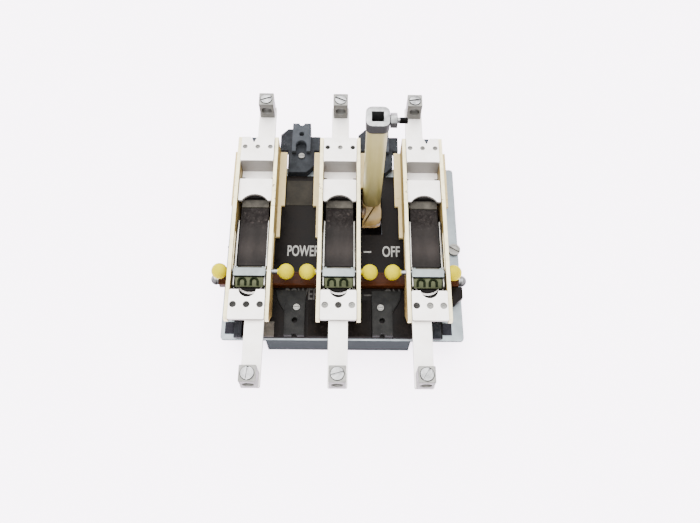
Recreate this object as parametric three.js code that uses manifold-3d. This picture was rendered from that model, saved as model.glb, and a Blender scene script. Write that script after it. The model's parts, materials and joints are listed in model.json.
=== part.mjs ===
// Three-pole open blade switch on a sheet-steel base.
// Millimetres. X runs across the poles, Y from the load side to the line side, Z up off the base.
// The origin is the middle of the base's underside, below the middle pole.
import * as THREE from 'three';
import { mergeVertices } from 'three/addons/utils/BufferGeometryUtils.js';
import Module from 'manifold-3d';

const wasm = await Module();
wasm.setup();

// ---- Driving dimensions -------------------------------------------------------------------
const GAP = 0.3;                  // clearance between pieces that touch
const POLE_PITCH = 76.2;          // three inches between pole centres
const THROW = 36;                 // travel of the blade carriage from off to on

const PAN = { left: -101.5, right: 108.5, end: 87, top: 27, sheet: 2 };
const FOOT_HALF = 62.5;           // half the width of the front and back flanges
const LIP = { deep: 13, holeX: 45, holeR: 2.8, holeIn: 7 };  // inward turned mounting lip of each flange
const SKIRT = { near: 16, far: 3 };  // how far the side flanges stop short of the ends
const COVER = { half: 93, near: -85.5, far: 76.5, top: 30.3, corner: 89.9, cornerFar: -69.5 };

const PLATE = { inner: 15.35, thick: 3.2, near: -79.8, far: 101.9, bottom: 30.6, top: 58.9 };
const UNDERCUT = { high: 54.5, far: -65.5 };  // slope under the load end of a side plate
const FEET = { deep: 6.4, shallow: 3.2, top: 34, bend: 42, near: 7 };
const BAR = { width: 16, inset: 7.1, thick: 3, top: 57.7, end: 136.4 };
const TOP_PLATE = { half: 15.05, bottom: 58, top: 61 };
const LINE = { far: 99.5, web: 73.6, webThick: 3, floor: 42, tongue: 36, step: 67 };
const NOTCH = { half: 3.5, depth: 6, tip: 0.4, shift: 4 };
const LINE_CAP = { near: 34.5, far: 57, bottom: 53, top: 56, half: 14.9, arch: 14, archIn: 7.5 };
const LOAD = {
  near: -80.4, far: -54, web: -64.2, webThick: 2.8, notch: 7.4, notchY: -53.4, tongueTop: 44.2, tongueFar: 4,
};
const TONGUE_HALF = 12.2;
const TONGUE_BOTTOM = 40;
const LINE_HOLES = { y: 88.7, r: 2.3, pitch: 11.6 };
const LOAD_HOLES = { y: -67.4, r: 2.9, pitch: 11.2 };
const ARC_BLOCK = { half: 12.3, near: -26, far: 31, bottom: 44.6, top: 47.6 };

const BLADE = { inner: 12.8, thick: 1.8, near: -50, far: 18, bottom: 40, top: 50.8 };
const HUMP = { near: -48.5, far: -29, top: 55.2 };
const PIN = { y: -34, z: 53, r: 2, ball: 6.9 };
const PIN_REACH = [[26.2, 31], [27.2, 26.6], [30, 22.6]];  // ball centres, left and right of each pole
const YOKE = {
  near: -39.8, far: -32.3, bottom: 55.5, top: 57.1, half: 13.7,
  legBottom: 51.3, legFar: -30.6, legX: 11.3, legThick: 1.8,
};
const CROSSBAR = {
  half: 105, near: -40.2, far: -27.8, bottom: 31.3, top: 38.8, tip: 112.5, tipFrom: 107.5, tipR: 4.8, rod: 2.6,
};
const SHOE = { inner: 98.6, outer: 108.3, near: -57, slant: -50.5, toe: 100.8 };

const LUG = {
  width: 13.6, length: 13.3, bottom: 58, top: 77.6, bore: 4.75, boreZ: 68.2, seat: 70.8, shank: 3.2, play: 0.35,
};
const LUG_SCREW = { r: 5.3, bottom: 70.2, head: 75.4, top: 78.4, slot: 1.4, slotDepth: 1.6 };

const HANDLE = { x: 29.5, y: 48, pivotZ: 14, half: 8.4, wall: 2.2, bottom: 37.5, top: 151.7 };
const YOKE_FOOT = { boss: 7, neck: 8, from: 6, spigotDepth: 16, fork: 3, forkHalf: 12 };
const COLLAR = { half: 9.3, bottom: 152, top: 162, socket: 4.7, spigot: 5.8, spigotDepth: 12 };
const AXLE_R = 3;
const CLAMP_SCREW = { r: 2.2, head: 6, headThick: 5.4, to: 52.8, z: 157 };

const ROUND = 18;                 // sides of a round hole or pin

// ---- Finishes -----------------------------------------------------------------------------
const finish = (color, roughness, metalness) => () =>
  new THREE.MeshStandardMaterial({ color, roughness, metalness });
const zincSheet = finish(0xa9b3b8, 0.45, 0.8);
const tinPlate = finish(0xe6e3dc, 0.35, 0.7);
const glassBoard = finish(0xe9dcb0, 0.6, 0);
const darkMoulding = finish(0x3a3d42, 0.6, 0);
const blackBoard = finish(0x1d1a1a, 0.55, 0);
const brownPhenolic = finish(0x3b2a28, 0.7, 0);
const redPhenolic = finish(0x5a2a1c, 0.5, 0);
const bareCopper = finish(0xcfc8bd, 0.3, 0.9);
const yellowCap = finish(0xf5e61e, 0.35, 0);
const creamTube = finish(0xe4dcae, 0.45, 0);
const brightSteel = finish(0xc4c6c8, 0.3, 1);

// ---- Solids -------------------------------------------------------------------------------
function toSolid(geometry) {
  const bare = geometry.index ? geometry.clone() : geometry;
  bare.deleteAttribute('normal');
  bare.deleteAttribute('uv');
  const merged = mergeVertices(bare, 1e-4);
  return new wasm.Manifold(new wasm.Mesh({
    numProp: 3,
    vertProperties: new Float32Array(merged.attributes.position.array),
    triVerts: new Uint32Array(merged.index.array),
  }));
}

function toGeometry(solid) {
  const mesh = solid.getMesh();
  const geometry = new THREE.BufferGeometry();
  geometry.setAttribute('position', new THREE.BufferAttribute(new Float32Array(mesh.vertProperties), 3));
  geometry.setIndex(new THREE.BufferAttribute(new Uint32Array(mesh.triVerts), 1));
  geometry.computeVertexNormals();
  return geometry;
}

function block(x0, x1, y0, y1, z0, z1) {
  const geometry = new THREE.BoxGeometry(x1 - x0, y1 - y0, z1 - z0);
  geometry.translate((x0 + x1) / 2, (y0 + y1) / 2, (z0 + z1) / 2);
  return toSolid(geometry);
}

// A round bar along 'x', 'y' or 'z', from one coordinate to the other, about the point (a, b)
// given in the order of the two remaining axes.
function bar(axis, radius, from, to, a, b, sides = ROUND) {
  const geometry = new THREE.CylinderGeometry(radius, radius, to - from, sides);
  const middle = (from + to) / 2;
  if (axis === 'x') {
    geometry.rotateZ(Math.PI / 2);
    geometry.translate(middle, a, b);
  } else if (axis === 'y') {
    geometry.translate(a, middle, b);
  } else {
    geometry.rotateX(Math.PI / 2);
    geometry.translate(a, b, middle);
  }
  return toSolid(geometry);
}

// A rectangle with rounded corners.
function roundedOutline(x0, x1, y0, y1, r) {
  const outline = new THREE.Shape();
  outline.moveTo(x0 + r, y0);
  outline.lineTo(x1 - r, y0);
  outline.absarc(x1 - r, y0 + r, r, -Math.PI / 2, 0);
  outline.lineTo(x1, y1 - r);
  outline.absarc(x1 - r, y1 - r, r, 0, Math.PI / 2);
  outline.lineTo(x0 + r, y1);
  outline.absarc(x0 + r, y1 - r, r, Math.PI / 2, Math.PI);
  outline.lineTo(x0, y0 + r);
  outline.absarc(x0 + r, y0 + r, r, Math.PI, Math.PI * 1.5);
  return outline;
}

function cornersOutline(corners) {
  return new THREE.Shape(corners.map(([a, b]) => new THREE.Vector2(a, b)));
}

// An outline drawn in X and Y and raised from z0 to z1.
function raised(outline, z0, z1, curveSegments = 2) {
  const options = { depth: z1 - z0, bevelEnabled: false, curveSegments };
  const geometry = new THREE.ExtrudeGeometry(outline, options);
  geometry.translate(0, 0, z0);
  return toSolid(geometry);
}

// An outline drawn in Y and Z and drawn out from x0 to x1.
function drawnAcross(outline, x0, x1, curveSegments = 2) {
  const options = { depth: x1 - x0, bevelEnabled: false, curveSegments };
  const geometry = new THREE.ExtrudeGeometry(outline, options);
  const axes = new THREE.Matrix4().makeBasis(
    new THREE.Vector3(0, 1, 0), new THREE.Vector3(0, 0, 1), new THREE.Vector3(1, 0, 0));
  geometry.applyMatrix4(axes);
  geometry.translate(x0, 0, 0);
  return toSolid(geometry);
}

const assembly = new THREE.Group();
assembly.name = 'blade_switch';

function place(name, solid, material, x = 0, y = 0, z = 0) {
  const mesh = new THREE.Mesh(toGeometry(solid), material());
  mesh.name = name;
  mesh.position.set(x, y, z);
  assembly.add(mesh);
  return mesh;
}

// ---- Base ---------------------------------------------------------------------------------
const HANDLE_SLOT = { near: 14, far: 59.5 };
const SLOT_HALF = HANDLE.half + 1.2;
const EAR = { half: 13.2, thick: 2.5, radius: 7 };

function handleOpening(z0, z1) {
  return block(HANDLE.x - SLOT_HALF, HANDLE.x + SLOT_HALF, HANDLE_SLOT.near, HANDLE_SLOT.far, z0, z1);
}

function basePan() {
  const { left, right, end, top, sheet } = PAN;
  let pan = raised(roundedOutline(left, right, -end, end, 3), top - sheet, top);
  for (const side of [-1, 1]) {
    const face = side * end;
    const inside = side * (end - sheet);
    const lipEdge = side * (end - LIP.deep);
    const y = [Math.min(face, inside), Math.max(face, inside)];
    const lip = [Math.min(face, lipEdge), Math.max(face, lipEdge)];
    pan = pan.add(block(-FOOT_HALF, FOOT_HALF, y[0], y[1], 0, top - 1));
    let foot = block(-FOOT_HALF, FOOT_HALF, lip[0], lip[1], 0, sheet);
    for (const x of [-LIP.holeX, LIP.holeX]) {
      foot = foot.subtract(bar('z', LIP.holeR, -1, sheet + 1, x, side * (end - LIP.holeIn)));
    }
    pan = pan.add(foot);
  }
  pan = pan.add(block(left, left + sheet, -end + SKIRT.near, end - SKIRT.far, 0, top - 1));
  pan = pan.add(block(right - sheet, right, -end + SKIRT.near, end - SKIRT.far, 0, top - 1));
  pan = pan.subtract(handleOpening(top - sheet - 1, top + 1));
  for (const side of [-1, 1]) {
    const x0 = HANDLE.x + side * EAR.half - EAR.thick / 2;
    let ear = block(x0, x0 + EAR.thick, HANDLE.y - EAR.radius, HANDLE.y + EAR.radius, HANDLE.pivotZ, top - 1);
    ear = ear.add(bar('x', EAR.radius, x0, x0 + EAR.thick, HANDLE.y, HANDLE.pivotZ));
    ear = ear.subtract(bar('x', AXLE_R + GAP, x0 - 1, x0 + EAR.thick + 1, HANDLE.y, HANDLE.pivotZ));
    pan = pan.add(ear);
  }
  return pan;
}

function legendCover() {
  const outline = roundedOutline(-COVER.half, COVER.half, COVER.near, COVER.far, 2);
  let board = raised(outline, PAN.top + GAP, COVER.top);
  board = board.subtract(handleOpening(PAN.top - 1, COVER.top + 1));
  for (const side of [-1, 1]) {
    const x = [side * COVER.corner, side * (COVER.half + 1)].sort((a, b) => a - b);
    board = board.subtract(block(x[0], x[1], COVER.near - 1, COVER.cornerFar, PAN.top, COVER.top + 1));
  }
  return board;
}

// ---- Poles --------------------------------------------------------------------------------
const PIN_SLOT_R = PIN.r + GAP;

// A slot along Y with round ends, cut right across X.
function roundSlot(y0, y1, z, r, x0, x1) {
  return drawnAcross(roundedOutline(y0 - r, y1 + r, z - r, z + r, r - 0.01), x0, x1);
}

// One side plate, drawn for side +1 and mirrored for side -1. footFrom is where its foot starts.
function sidePlate(side, footFrom) {
  const { inner, thick, near, far, bottom, top } = PLATE;
  const outer = inner + thick;
  const deepFrom = Math.max(footFrom, FEET.bend);
  let plate = drawnAcross(roundedOutline(near, far, bottom, top, 2.5), inner, outer);
  plate = plate.add(block(outer - 1, outer + FEET.deep, deepFrom, far - 1, bottom, FEET.top));
  if (footFrom < FEET.bend) {
    plate = plate.add(block(outer - 1, outer + FEET.shallow, footFrom, FEET.bend + 1, bottom, FEET.top));
  }
  plate = plate.subtract(roundSlot(PIN.y - GAP, PIN.y + THROW + GAP, PIN.z, PIN_SLOT_R, inner - 1, outer + 1));
  plate = plate.subtract(block(inner - 1, outer + FEET.deep + 1, CROSSBAR.near - 1, CROSSBAR.far + THROW + 1,
    bottom - 1, CROSSBAR.top + 3 * GAP));
  const slope = cornersOutline([[near - 1, UNDERCUT.high], [near - 1, bottom - 1], [UNDERCUT.far, bottom - 1]]);
  plate = plate.subtract(drawnAcross(slope, inner - 1, outer + 1));
  return side > 0 ? plate : plate.mirror([1, 0, 0]);
}

function threeHoles(solid, { y, r, pitch }, z0, z1) {
  let drilled = solid;
  for (const x of [-pitch, 0, pitch]) {
    drilled = drilled.subtract(bar('z', r, z0, z1, x, y));
  }
  return drilled;
}

// notchX is where the V-notch in its outer edge is centred.
function lineTerminal(notchX) {
  const { far, web, webThick, floor, tongue, step } = LINE;
  const { half, bottom, top } = TOP_PLATE;
  let body = raised(roundedOutline(-half, half, web, far, 1.2), bottom, top);
  body = threeHoles(body, LINE_HOLES, bottom - 1, top + 1);
  const notch = cornersOutline([[notchX - NOTCH.half, far + 1], [notchX + NOTCH.half, far + 1],
    [notchX + NOTCH.tip, far - NOTCH.depth], [notchX - NOTCH.tip, far - NOTCH.depth]]);
  body = body.subtract(raised(notch, bottom - 1, top + 1));
  body = body.add(block(-half, half, web, web + webThick, floor - 3, top - 1));
  body = body.add(block(-half, half, step, web + 1, floor - 3, floor));
  body = body.add(block(-TONGUE_HALF, TONGUE_HALF, tongue, step + 1, TONGUE_BOTTOM, floor));
  body = body.add(block(-TONGUE_HALF, TONGUE_HALF, tongue + 6, LINE_CAP.far, floor - 1, LINE_CAP.bottom + 1));
  const cap = LINE_CAP;
  let shield = raised(roundedOutline(-cap.half, cap.half, cap.near, cap.far, 1), cap.bottom, cap.top);
  shield = shield.subtract(bar('z', cap.arch, cap.bottom - 1, cap.top + 1, 0, cap.near - cap.archIn, 2 * ROUND));
  return body.add(shield);
}

function loadTerminal() {
  const { near, far, web, webThick, notch, notchY, tongueTop, tongueFar } = LOAD;
  const { half, bottom, top } = TOP_PLATE;
  let body = raised(roundedOutline(-half, half, near, far, 1.2), bottom, top);
  body = body.subtract(bar('z', notch, bottom - 1, top + 1, 0, notchY, 30));
  body = threeHoles(body, LOAD_HOLES, bottom - 1, top + 1);
  body = body.add(block(-half, half, web, web + webThick, TONGUE_BOTTOM, top - 1));
  body = body.add(block(-TONGUE_HALF, TONGUE_HALF, web + 1, tongueFar, TONGUE_BOTTOM, tongueTop));
  return body;
}

function terminalBar(side) {
  const inner = side > 0 ? LINE.web + LINE.webThick + GAP : LOAD.web - GAP;
  const outer = side * BAR.end;
  const y = [Math.min(inner, outer), Math.max(inner, outer)];
  const half = BAR.width / 2;
  return raised(roundedOutline(-half, half, y[0], y[1], 1.5), BAR.top - BAR.thick, BAR.top);
}

function arcBlock() {
  const { half, near, far, bottom, top } = ARC_BLOCK;
  return drawnAcross(roundedOutline(near, far, bottom, top, 1.2), -half, half);
}

// ---- Wire lugs ----------------------------------------------------------------------------
function wireLug() {
  const { width, length, bottom, top, bore, boreZ, seat, shank, play } = LUG;
  let lug = raised(roundedOutline(-width / 2, width / 2, -length / 2, length / 2, 0.8), bottom, top);
  lug = lug.subtract(bar('y', bore, -length, length, 0, boreZ));
  lug = lug.subtract(bar('z', shank + play, boreZ, seat + 1, 0, 0));
  return lug.subtract(bar('z', LUG_SCREW.r + play, seat, top + 1, 0, 0));
}

function lugScrew(turn) {
  const { r, bottom, head, top, slot, slotDepth } = LUG_SCREW;
  const screw = bar('z', r, head, top, 0, 0).add(bar('z', LUG.shank, bottom, head + 1, 0, 0));
  const cut = block(-r - 1, r + 1, -slot / 2, slot / 2, top - slotDepth, top + 1);
  return screw.subtract(cut.rotate([0, 0, turn]));
}

// ---- Moulded brackets ---------------------------------------------------------------------
const LINE_BRACKET = { x: 37.7, half: 12.4, wide: 20.5, near: 78, step: 102.6, far: 127.5, top: 35, corner: 7 };
const LINE_EAR = { half: 8.8, near: 98, far: 130, bottom: 32, top: 41, holeR: 2.5, holeIn: 12.5 };
const LINE_ARCH = { half: 5.2, near: 97, far: 105, bottom: 34 };
const LINE_SCREW_HOLE = { r: 2.2, y: 95.5 };

function lineBracket() {
  const { half, wide, near, step, far, top, corner } = LINE_BRACKET;
  const right = wide - 2.5;
  const outline = cornersOutline([[-half, near], [half - corner, near], [half, near + corner], [half, step],
    [right, step], [right, far - 9], [LINE_EAR.half, far - 9], [LINE_EAR.half, far], [-wide + corner, far],
    [-wide, far - corner], [-wide, step], [-half, step]]);
  const ear = LINE_EAR;
  const arch = LINE_ARCH;
  let body = raised(outline, PAN.top + GAP, top);
  body = body.add(block(-ear.half, ear.half, ear.near, ear.far, ear.bottom, ear.top));
  for (const y of [ear.far, ear.far - ear.holeIn]) {
    body = body.subtract(bar('z', ear.holeR, PAN.top - 1, ear.top + 1, 0, y));
  }
  body = body.subtract(block(-arch.half, arch.half, arch.near, arch.far, arch.bottom, ear.top + 1));
  body = body.subtract(bar('z', arch.half, arch.bottom, ear.top + 1, 0, arch.far));
  return body.subtract(bar('z', LINE_SCREW_HOLE.r, PAN.top - 1, top + 1, 0, LINE_SCREW_HOLE.y));
}

const LOAD_BRACKET = { x: 37.6, outer: 8.9, inner: 8.4, near: -85.2, far: -57, top: 35.5, shoulder: 33.2 };
const LOAD_HOLE = { r: 2.5, y: -71.6, notch: 2.3 };
const LOAD_SCREW_SEAT = { r: 3.4, x: 1.2, y: -59.5, floor: 33.5 };
// The flag-shaped shoulder, from its inner back corner round to the body.
const SHOULDER = [[8.6, -43.2], [8.6, -60], [-8.9, -64], [-10.4, -60.5], [-13.4, -56], [-16, -50.5],
  [-17.2, -43.2]];

// Drawn for the left bracket and mirrored for the right one.
function loadBracket(side) {
  const { outer, inner, near, far, top, shoulder } = LOAD_BRACKET;
  const seat = LOAD_SCREW_SEAT;
  const bottom = COVER.top + GAP;
  let body = block(-outer, inner, near, far + 1, bottom, top);
  body = body.add(raised(cornersOutline([...SHOULDER].reverse()), bottom, shoulder));
  body = body.subtract(bar('z', LOAD_HOLE.notch, bottom - 1, top + 1, 0, near));
  body = body.subtract(bar('z', LOAD_HOLE.r, bottom - 1, top + 1, 0, LOAD_HOLE.y));
  body = body.subtract(bar('z', seat.r, seat.floor, top + 1, seat.x, seat.y));
  return side < 0 ? body : body.mirror([1, 0, 0]);
}

// ---- Blade carriage -----------------------------------------------------------------------
function blade(side) {
  const { inner, thick, near, far, bottom, top } = BLADE;
  const hump = roundedOutline(HUMP.near, HUMP.far, top - 5, HUMP.top, 2);
  let strip = drawnAcross(roundedOutline(near, far, bottom, top, 2), inner, inner + thick);
  strip = strip.add(drawnAcross(hump, inner, inner + thick));
  strip = strip.subtract(bar('x', PIN.r + GAP, inner - 1, inner + thick + 1, PIN.y, PIN.z));
  return side > 0 ? strip : strip.mirror([1, 0, 0]);
}

function yoke() {
  const { near, far, bottom, top, half, legBottom, legFar, legX, legThick } = YOKE;
  let body = raised(roundedOutline(-half, half, near, far, 1), bottom, top);
  for (const x of [-legX, legX]) {
    body = body.add(block(x - legThick / 2, x + legThick / 2, near + 1, legFar, legBottom, bottom + 0.5));
  }
  return body.subtract(bar('x', PIN.r + GAP, -13, 13, PIN.y, PIN.z));
}

// Each ball has a flat back where it would meet the side plate.
function cappedPin(reachLeft, reachRight) {
  let pin = bar('x', PIN.r, -reachLeft, reachRight, PIN.y, PIN.z);
  const back = PLATE.inner + PLATE.thick + GAP;
  const around = PIN.ball + 1;
  const behind = block(-back, back, PIN.y - around, PIN.y + around, PIN.z - around, PIN.z + around);
  for (const reach of [-reachLeft, reachRight]) {
    const ball = new THREE.SphereGeometry(PIN.ball, 16, 10);
    ball.translate(reach, PIN.y, PIN.z);
    pin = pin.add(toSolid(ball).subtract(behind));
  }
  return pin;
}

function crossbar() {
  const { half, near, far, bottom, top, tip, tipFrom, tipR, rod } = CROSSBAR;
  const middle = (near + far) / 2;
  const centre = (bottom + top) / 2;
  let body = drawnAcross(roundedOutline(near, far, bottom, top, 1.5), -half, half);
  body = body.add(bar('x', rod, -tipFrom - 1, tipFrom + 1, middle, centre));
  body = body.add(bar('x', tipR, -tip, -tipFrom, middle, centre));
  return body.add(bar('x', tipR, tipFrom, tip, middle, centre));
}

// The block bolted to the near face of the crossbar at its right end.
function slideShoe() {
  const { inner, outer, near, slant, toe } = SHOE;
  const far = CROSSBAR.near - GAP;
  const outline = cornersOutline([[inner, near], [toe, near], [outer, slant], [outer, far], [inner, far]]);
  return raised(outline, CROSSBAR.bottom, CROSSBAR.top - 1);
}

// ---- Handle -------------------------------------------------------------------------------
function handlePost() {
  const { half, wall, bottom, top } = HANDLE;
  const outside = raised(roundedOutline(-half, half, -half, half, 5.5), bottom, top);
  const inside = half - wall;
  return outside.subtract(raised(roundedOutline(-inside, inside, -inside, inside, 3.6), bottom - 1, top + 1));
}

// The foot's lobe, in Y and Z about the pivot, and its outline from above.
const LOBE_SIDE = [[-7, 23.1], [-12, 22.5], [-17, 21.2], [-21, 19.4], [-23.8, 17.2], [-25.1, 14.6],
  [-24.5, 11.6], [-17, 7], [-7, 5]];
const LOBE_CORE = [-5.2, 7.5, -12, -4];  // joins the two halves of the lobe below its slit
const LOBE_PLAN = [[-6.5, -5], [-5.2, -10.5], [-5.4, -15.5], [-8.4, -21.4], [-8.7, -26], [-6, -25.3],
  [4.5, -24], [7.4, -22], [8.8, -18], [8.9, -13], [8.3, -8], [7.5, -5]];
const SLIT = { wide: 1.5, deep: 9, turn: -32, x: -1.2, y: -14.4 };

function handleLobe() {
  const { bottom, pivotZ } = HANDLE;
  const side = drawnAcross(cornersOutline(LOBE_SIDE), -10, 10).translate([0, 0, pivotZ]);
  const lobe = side.intersect(raised(cornersOutline(LOBE_PLAN), 0, bottom));
  const slit = block(-SLIT.wide / 2, SLIT.wide / 2, -30, 30, bottom - SLIT.deep, bottom + 1);
  const core = block(...LOBE_CORE, pivotZ + 8, bottom - SLIT.deep);
  return lobe.subtract(slit.rotate([0, 0, SLIT.turn]).translate([SLIT.x, SLIT.y, 0])).add(core);
}

function handleYoke() {
  const { half, wall, bottom, pivotZ } = HANDLE;
  const { boss, neck, from, spigotDepth, fork, forkHalf } = YOKE_FOOT;
  const spigot = half - wall - GAP;
  let body = raised(roundedOutline(-spigot, spigot, -spigot, spigot, 3.3), bottom - 2, bottom + spigotDepth);
  body = body.add(raised(roundedOutline(-half, half, -half, half, 3), pivotZ + from, bottom - GAP));
  body = body.add(bar('x', boss, -half, half, 0, pivotZ));
  body = body.add(handleLobe());
  body = body.add(block(-half, half, -boss, boss, pivotZ, pivotZ + neck));
  body = body.subtract(block(-fork, fork, -forkHalf, forkHalf, pivotZ - boss - 3, pivotZ + neck + 3));
  return body.subtract(bar('x', AXLE_R + GAP, -half - 1, half + 1, 0, pivotZ));
}

function handleCollar() {
  const { half, bottom, top, socket, spigot, spigotDepth } = COLLAR;
  const inside = roundedOutline(-spigot, spigot, -spigot, spigot, 3);
  let body = raised(roundedOutline(-half, half, -half, half, 5), bottom, top);
  body = body.add(raised(inside, bottom - spigotDepth, bottom + 1));
  body = body.subtract(block(-socket, socket, -socket, socket, bottom - spigotDepth - 1, top + 1));
  return body.subtract(bar('x', CLAMP_SCREW.r + GAP, 0, half + 1, 0, CLAMP_SCREW.z));
}

function clampScrew() {
  const { r, head, headThick, to, z } = CLAMP_SCREW;
  const face = COLLAR.half + 0.4;
  const stud = bar('x', r, COLLAR.socket + 0.6, to - HANDLE.x, 0, z);
  return stud.add(bar('x', head, face, face + headThick, 0, z, 6));
}

function handleAxle() {
  const reach = EAR.half + EAR.thick / 2 + 1.5;
  return bar('x', AXLE_R, HANDLE.x - reach, HANDLE.x + reach, HANDLE.y, HANDLE.pivotZ);
}

// ---- Assembly -----------------------------------------------------------------------------
place('base_pan', basePan(), zincSheet);
place('legend_cover', legendCover(), blackBoard);

const SCREW_TURNS = { line: [20, -25, 10], load: [85, 15, 60] };

for (let pole = 0; pole < 3; pole += 1) {
  const x = (pole - 1) * POLE_PITCH;
  const barX = x - (pole - 1) * BAR.inset;
  const tag = pole + 1;
  place(`side_plate_${tag}_left`, sidePlate(-1, FEET.near), glassBoard, x);
  place(`side_plate_${tag}_right`, sidePlate(1, pole === 1 ? 62 : FEET.near), glassBoard, x);
  place(`line_terminal_${tag}`, lineTerminal((pole - 1) * NOTCH.shift), tinPlate, x);
  place(`load_terminal_${tag}`, loadTerminal(), tinPlate, x);
  place(`line_bar_${tag}`, terminalBar(1), tinPlate, barX);
  place(`load_bar_${tag}`, terminalBar(-1), tinPlate, barX);
  place(`arc_block_${tag}`, arcBlock(), brownPhenolic, x);
  for (const [end, side] of [['line', 1], ['load', -1]]) {
    const y = side * (BAR.end + 0.6 - LUG.length / 2);
    place(`${end}_lug_${tag}`, wireLug(), tinPlate, barX, y);
    place(`${end}_lug_screw_${tag}`, lugScrew(SCREW_TURNS[end][pole]), brightSteel, barX, y);
  }
  place(`blade_${tag}_left`, blade(-1), bareCopper, x);
  place(`blade_${tag}_right`, blade(1), bareCopper, x);
  place(`blade_yoke_${tag}`, yoke(), zincSheet, x);
  place(`blade_pin_${tag}`, cappedPin(PIN_REACH[pole][0], PIN_REACH[pole][1]), yellowCap, x);
}

for (const [name, x] of [['left', -1], ['right', 1]]) {
  place(`line_bracket_${name}`, lineBracket(), darkMoulding, x * LINE_BRACKET.x);
  place(`load_bracket_${name}`, loadBracket(x), darkMoulding, x * LOAD_BRACKET.x);
}

place('crossbar', crossbar(), redPhenolic);
place('slide_shoe', slideShoe(), blackBoard);
place('handle_yoke', handleYoke(), creamTube, HANDLE.x, HANDLE.y);
place('handle_post', handlePost(), creamTube, HANDLE.x, HANDLE.y);
place('handle_collar', handleCollar(), brightSteel, HANDLE.x, HANDLE.y);
place('handle_clamp_screw', clampScrew(), brightSteel, HANDLE.x, HANDLE.y);
place('handle_axle', handleAxle(), brightSteel);

export default assembly;
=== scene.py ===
"""The finish of a three-pole blade switch, laid out as an add-on and run as a script.

Every piece is built around the frame: its places come from the frame's nodes, in metres.
"""
import json
from math import cos, pi, radians, sin

import bpy
from bpy.props import FloatProperty, FloatVectorProperty, PointerProperty
from mathutils import Matrix, Vector

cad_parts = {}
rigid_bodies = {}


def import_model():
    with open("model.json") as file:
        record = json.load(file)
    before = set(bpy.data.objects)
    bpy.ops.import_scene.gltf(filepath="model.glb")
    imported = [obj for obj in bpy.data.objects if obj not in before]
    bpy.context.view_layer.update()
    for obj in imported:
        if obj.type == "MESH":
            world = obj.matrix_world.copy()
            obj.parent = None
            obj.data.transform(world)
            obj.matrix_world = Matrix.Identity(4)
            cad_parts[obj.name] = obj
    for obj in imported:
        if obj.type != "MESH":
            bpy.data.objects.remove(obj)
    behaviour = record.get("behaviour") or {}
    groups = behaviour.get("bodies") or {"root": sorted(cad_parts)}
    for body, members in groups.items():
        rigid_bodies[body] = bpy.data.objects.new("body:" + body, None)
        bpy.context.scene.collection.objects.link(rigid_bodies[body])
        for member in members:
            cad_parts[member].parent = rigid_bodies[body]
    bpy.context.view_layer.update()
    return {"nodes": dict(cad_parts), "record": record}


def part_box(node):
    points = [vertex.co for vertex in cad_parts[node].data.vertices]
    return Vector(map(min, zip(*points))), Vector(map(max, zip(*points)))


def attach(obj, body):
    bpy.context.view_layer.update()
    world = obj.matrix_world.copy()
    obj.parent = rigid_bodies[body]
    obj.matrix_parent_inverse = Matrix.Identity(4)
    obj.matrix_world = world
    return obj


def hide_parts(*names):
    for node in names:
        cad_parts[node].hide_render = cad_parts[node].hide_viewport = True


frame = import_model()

bl_info = {
    "name": "Blade Switch Maker",
    "version": (1, 0, 0),
    "blender": (4, 5, 0),
    "location": "3D View > Sidebar > Blade Switch",
    "description": "Builds the finished pieces of a three-pole blade switch around its frame",
    "category": "Object",
}

MM = 0.001
POLES = (1, 2, 3)
SIDES = {"left": -1, "right": 1}
PLATE_FACE = 18.95 * MM     # from a pole's middle to just clear of its side plate
SAME_POINT = 1e-6           # points of a new shape nearer than this are one, in metres
SAME_CORNER = 1e-5          # the same for the corners of a frame node
SLIVER = 2e-5               # edges of a frame node shorter than this are taken away
ONE_PLANE = radians(1)      # faces of a frame node that turn less than this become one
BODY_OF = {n: body for body, names in frame["record"]["behaviour"]["bodies"].items() for n in names}


# ---- Working tools ----
def mm(*values):
    """Millimetres as metres."""
    return tuple(value * MM for value in values)


def tint(colour, factor):
    """A colour made darker or lighter."""
    return tuple(part * factor for part in colour)


def faces_up(face):
    return face.normal.z > 0.9


def deselect():
    """Leaves edit mode and selects nothing."""
    if bpy.context.object and bpy.context.object.mode != "OBJECT":
        leave_edit()
    bpy.ops.object.select_all(action="DESELECT")


def only(piece):
    """Selects one piece alone and makes it the active one."""
    deselect()
    piece.select_set(True)
    bpy.context.view_layer.objects.active = piece
    return piece


def settle(piece):
    """Puts the piece's place, turn and size into its mesh."""
    only(piece)
    bpy.ops.object.transform_apply(location=True, rotation=True, scale=True)
    return piece


def named(piece, name):
    piece.name = name
    piece.data.name = name
    return piece


def cube(name, low, high):
    """A box between two corners."""
    deselect()
    low, high = Vector(low), Vector(high)
    bpy.ops.mesh.primitive_cube_add(size=1, location=(low + high) / 2)
    piece = named(bpy.context.object, name)
    piece.scale = high - low
    return settle(piece)


def rod(name, radius, length, centre, axis="Z", sides=40, top=None):
    """A round bar about a centre, along Z or X, or a cone where top gives its other radius."""
    deselect()
    turn = (0, pi / 2, 0) if axis == "X" else (0, 0, 0)
    bpy.ops.mesh.primitive_cone_add(vertices=sides, radius1=radius, radius2=radius if top is None else top,
                                    depth=length, location=centre, rotation=turn)
    return settle(named(bpy.context.object, name))


def ball(name, radius, centre, segments=40, rings=24):
    """A sphere with its poles along X."""
    deselect()
    bpy.ops.mesh.primitive_uv_sphere_add(segments=segments, ring_count=rings, radius=radius,
                                         location=centre, rotation=(0, pi / 2, 0))
    return settle(named(bpy.context.object, name))


def edit_faces(piece, chosen):
    """Enters edit mode with the faces selected for which chosen(face) is true."""
    only(piece)
    bpy.ops.object.mode_set(mode="EDIT")
    bpy.context.tool_settings.mesh_select_mode = (False, False, True)
    bpy.ops.mesh.select_all(action="DESELECT")
    leave_edit()
    for face in piece.data.polygons:
        face.select = bool(chosen(face))
    bpy.ops.object.mode_set(mode="EDIT")


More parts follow.
